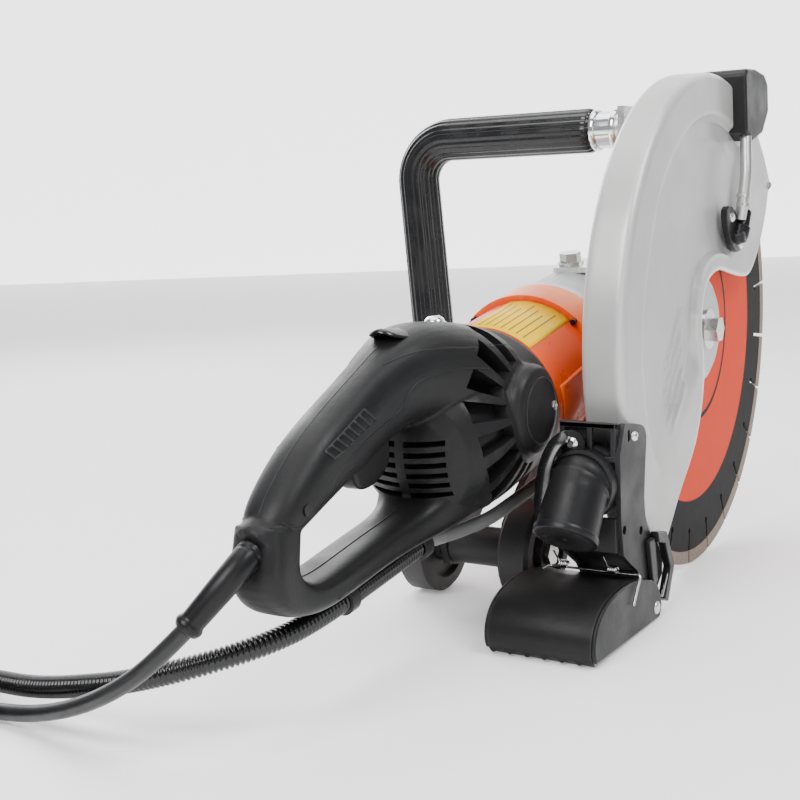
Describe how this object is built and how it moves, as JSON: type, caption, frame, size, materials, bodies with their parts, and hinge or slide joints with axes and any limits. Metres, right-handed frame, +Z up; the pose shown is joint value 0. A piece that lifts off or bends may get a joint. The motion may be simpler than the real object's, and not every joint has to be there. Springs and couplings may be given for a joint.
{
  "type": "rescue saw",
  "caption": "Electric cut-off saw with a diamond blade in a tilting guard, rear D handle, bent front handle, dust outlet, wheels, mains cable and water hose.",
  "frame": {"origin": "centre of the bottom of the saw's bounding box without its loose cords, on the ground", "axes": "+X towards the blade's front, +Y away from the blade towards the motor side, +Z up"},
  "size_m": [0.7838, 0.3952, 0.3649],
  "materials": {
    "guard_silver": "satin silver-grey paint",
    "orange_housing": "semi-gloss orange",
    "black_plastic": "fine-grained matte black",
    "black_rubber": "glossy black rubber",
    "tyre_black": "solid black tyre",
    "case_grey": "fine cast, light grey paint",
    "zinc": "bright zinc",
    "chrome": "polished",
    "steel": "turned steel",
    "blade_paint": "satin orange and dark grey paint",
    "segment": "gritty sintered metal",
    "core_iron": "stacked steel sheets",
    "copper": "enamelled copper windings",
    "grey_hose": "satin grey hose",
    "black_conduit": "glossy corrugated conduit",
    "black_cable": "satin black cable jacket",
    "brush_carbon": "pressed carbon"
  },
  "bodies": {
    "saw_body": {"armature_bearings": "steel", "axle_rod": "zinc", "axle_tube": "black_plastic", "bearing_plate": "case_grey", "brush_holders": "black_plastic", "carbon_brushes": "brush_carbon", "conduit_run": "black_conduit", "front_handle_bolts": "zinc", "front_handle_bracket": "zinc", "front_handle_grip": "black_rubber", "front_handle_tube": "chrome", "gear_case": "case_grey", "gear_case_bolt": "zinc", "handle_shell_left": "black_plastic", "handle_shell_right": "black_plastic", "hose_clips": "black_plastic", "hose_conduit": "black_conduit", "hose_connector": "black_plastic", "hose_union": "zinc", "housing_screws": "zinc", "mains_cord": "black_cable", "mains_cord_coil": "black_cable", "mains_plug": "black_plastic", "motor_housing": "orange_housing", "spindle_bearings": "steel", "stator_core": "core_iron", "stator_windings": "copper", "strain_relief": "black_rubber", "switch_body": "black_plastic", "top_flap": "black_plastic", "water_hose": "grey_hose", "wheel_bracket": "black_plastic"},
    "blade": {"blade_core": "blade_paint", "blade_segments": "segment", "inner_flange": "steel", "outer_flange": "steel", "blade_bolt": "zinc", "spindle": "steel", "spindle_gear": "steel"},
    "armature": {"armature_shaft": "steel", "armature_core": "core_iron", "commutator": "copper", "cooling_fan": "black_plastic", "pinion": "steel"},
    "guard": {"guard_shell": "guard_silver", "guard_front_grip": "black_plastic", "water_tube": "chrome", "water_nozzle": "black_plastic", "guard_screws": "zinc", "dust_bracket": "black_plastic", "dust_elbow": "black_plastic", "cap_tether": "black_rubber", "hood_pin": "zinc", "hood_spring": "zinc"},
    "dust_cap": {"dust_cap": "black_plastic"},
    "hood": {"hood": "black_plastic"},
    "wheel_left": {"wheel_left": "tyre_black"},
    "wheel_right": {"wheel_right": "tyre_black"},
    "trigger": {"trigger": "black_plastic"},
    "lock_button": {"lock_button": "black_plastic"}
  },
  "joints": [
    {"name": "blade_spin", "type": "hinge", "parent": "saw_body", "child": "blade", "pos_m": [0.13538, -0.10488, 0.1775], "axis": [0, 1, 0], "continuous": true},
    {"name": "armature_spin", "type": "hinge", "parent": "saw_body", "child": "armature", "pos_m": [0.13538, -0.01988, 0.1775], "axis": [0.9833, 0, 0.1822], "continuous": true},
    {"name": "guard_tilt", "type": "hinge", "parent": "saw_body", "child": "guard", "pos_m": [0.13538, -0.10488, 0.1775], "axis": [0, 1, 0], "range_deg": [0, 12]},
    {"name": "hood_swing", "type": "hinge", "parent": "guard", "child": "hood", "pos_m": [-0.02062, -0.09188, 0.0085], "axis": [0, 1, 0], "range_deg": [-20, 0], "stiffness_Nm_per_rad": 0.08, "springref_deg": -34.38},
    {"name": "dust_cap_pull", "type": "slide", "parent": "guard", "child": "dust_cap", "axis": [-0.5821, 0.0201, -0.8129], "range_m": [0, 0.02]},
    {"name": "wheel_left_roll", "type": "hinge", "parent": "saw_body", "child": "wheel_left", "pos_m": [-0.01662, 0.04112, 0.036], "axis": [0, 1, 0], "continuous": true},
    {"name": "wheel_right_roll", "type": "hinge", "parent": "saw_body", "child": "wheel_right", "pos_m": [-0.01662, -0.03838, 0.036], "axis": [0, 1, 0], "continuous": true},
    {"name": "trigger_press", "type": "slide", "parent": "saw_body", "child": "trigger", "axis": [-0.1822, 0, 0.9833], "range_m": [0, 0.005], "stiffness_N_per_m": 400, "springref_m": -0.003},
    {"name": "lock_press", "type": "slide", "parent": "saw_body", "child": "lock_button", "axis": [0, -1, 0], "range_m": [0, 0.003], "stiffness_N_per_m": 300, "springref_m": -0.002}
  ],
  "couplings": [
    {"joint": "armature_spin", "follows": "blade_spin", "ratio": -3.7273}
  ]
}
